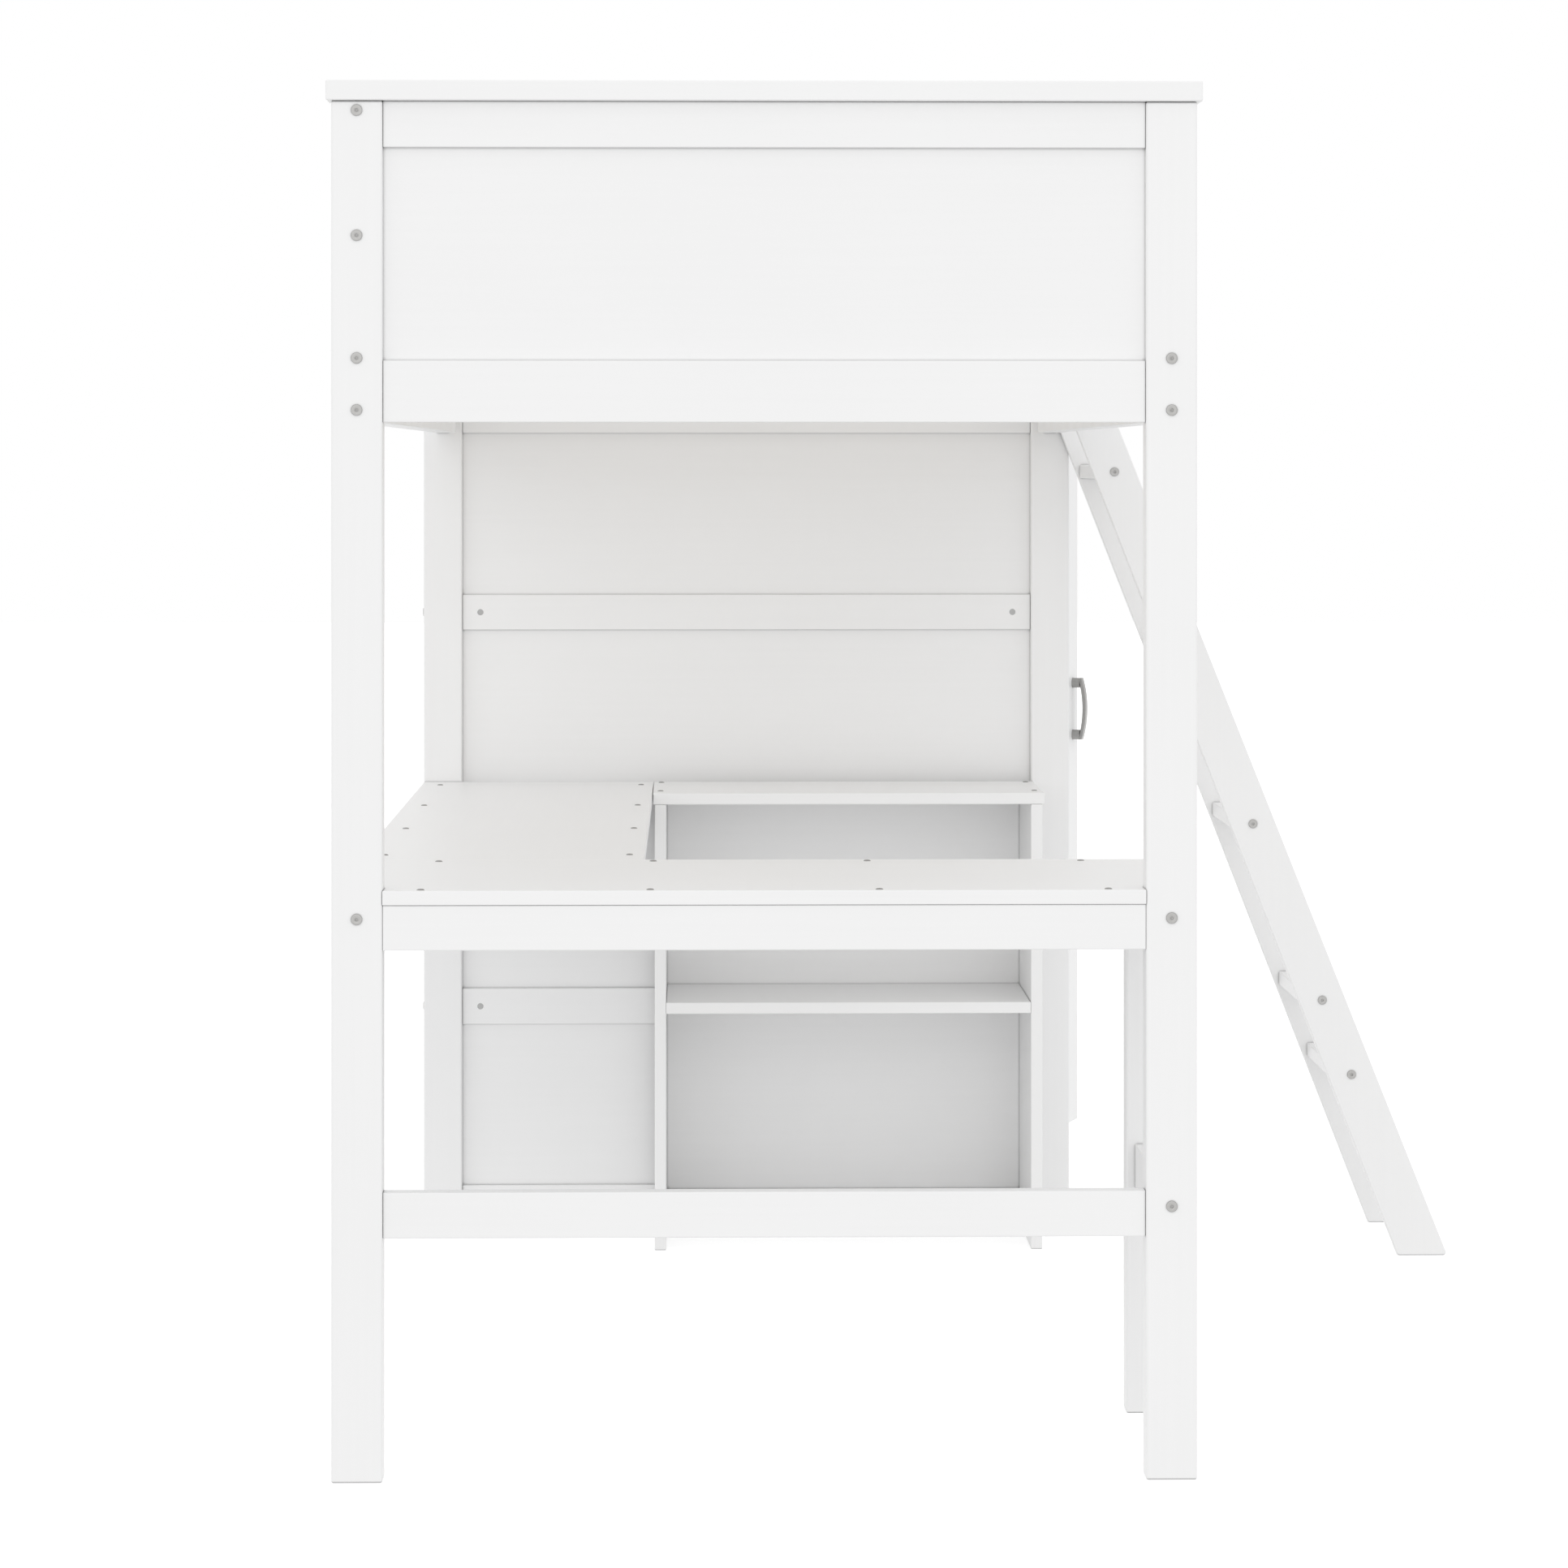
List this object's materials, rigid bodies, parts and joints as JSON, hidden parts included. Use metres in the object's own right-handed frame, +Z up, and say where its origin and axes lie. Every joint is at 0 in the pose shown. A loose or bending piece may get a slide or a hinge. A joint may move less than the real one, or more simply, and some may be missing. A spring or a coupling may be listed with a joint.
{
  "type": "loft bed with desk",
  "caption": "Twin loft bed with an L-shaped desk and a bookcase below, an angled side ladder, and a tall wardrobe with a hinged door at the far end.",
  "frame": {"origin": "on the floor, at the middle of the plan of the whole assembly, ladder and wardrobe included", "axes": "+X across the bed towards the ladder, +Y along the bed from the desk end to the wardrobe, +Z up"},
  "size_m": [1.6452, 2.44, 1.727],
  "materials": {
    "white_lacquer": "satin white lacquer on solid wood and board",
    "white_panel": "satin white lacquer on thin board",
    "satin_nickel": "satin nickel",
    "zinc_plate": "zinc plated steel",
    "chrome_plate": "bright chrome",
    "bare_pine": "unpainted planed pine"
  },
  "bodies": {
    "frame": {"barrel_nuts": "zinc_plate", "board_screws": "satin_nickel", "bookcase_back": "white_panel", "bookcase_floor": "white_lacquer", "bookcase_shelf": "white_lacquer", "bookcase_side_left": "white_lacquer", "bookcase_side_right": "white_lacquer", "bookcase_top": "white_lacquer", "cap_far": "white_lacquer", "cap_near": "white_lacquer", "crossbar": "white_lacquer", "desk_apron_front": "white_lacquer", "desk_apron_inner": "white_lacquer", "desk_cross_aprons": "white_lacquer", "desk_leg": "white_lacquer", "desk_rail_left": "white_lacquer", "desk_rail_right": "white_lacquer", "desk_stretcher": "white_lacquer", "desk_top_near": "white_lacquer", "desk_top_side": "white_lacquer", "dowels": "bare_pine", "end_bed_rail_far": "white_lacquer", "end_bed_rail_near": "white_lacquer", "end_panel_far": "white_panel", "end_panel_near": "white_panel", "end_top_rail_far": "white_lacquer", "end_top_rail_near": "white_lacquer", "frame_bolts": "satin_nickel", "guard_bars_left": "white_lacquer", "guard_rails_left": "white_lacquer", "guard_rails_right": "white_lacquer", "guard_uprights_right": "white_lacquer", "hanging_rail": "chrome_plate", "hanging_rail_sockets": "chrome_plate", "hinge_leaves_frame": "zinc_plate", "ladder_stile_far": "white_lacquer", "ladder_stile_near": "white_lacquer", "ladder_treads": "white_lacquer", "post_far_left": "white_lacquer", "post_far_right": "white_lacquer", "post_near_left": "white_lacquer", "post_near_right": "white_lacquer", "side_rail_left": "white_lacquer", "side_rail_right": "white_lacquer", "slat_ledgers": "white_lacquer", "slats": "bare_pine", "wall_base_rail": "white_lacquer", "wall_panels": "white_panel", "wall_rail_lower": "white_lacquer", "wall_rail_upper": "white_lacquer", "wardrobe_back": "white_panel", "wardrobe_floor": "white_lacquer", "wardrobe_plinth": "white_lacquer", "wardrobe_shelf": "white_lacquer", "wardrobe_side_far": "white_lacquer", "wardrobe_side_near": "white_lacquer", "wardrobe_top": "white_lacquer"},
    "door": {"wardrobe_door": "white_lacquer", "door_handle": "satin_nickel", "hinge_leaves_door": "zinc_plate"}
  },
  "joints": [
    {"name": "wardrobe_door_hinge", "type": "hinge", "parent": "frame", "child": "door", "pos_m": [0.18364, 0.819, 0], "axis": [0, 0, -1], "range_deg": [-18.5, 71.5]}
  ]
}
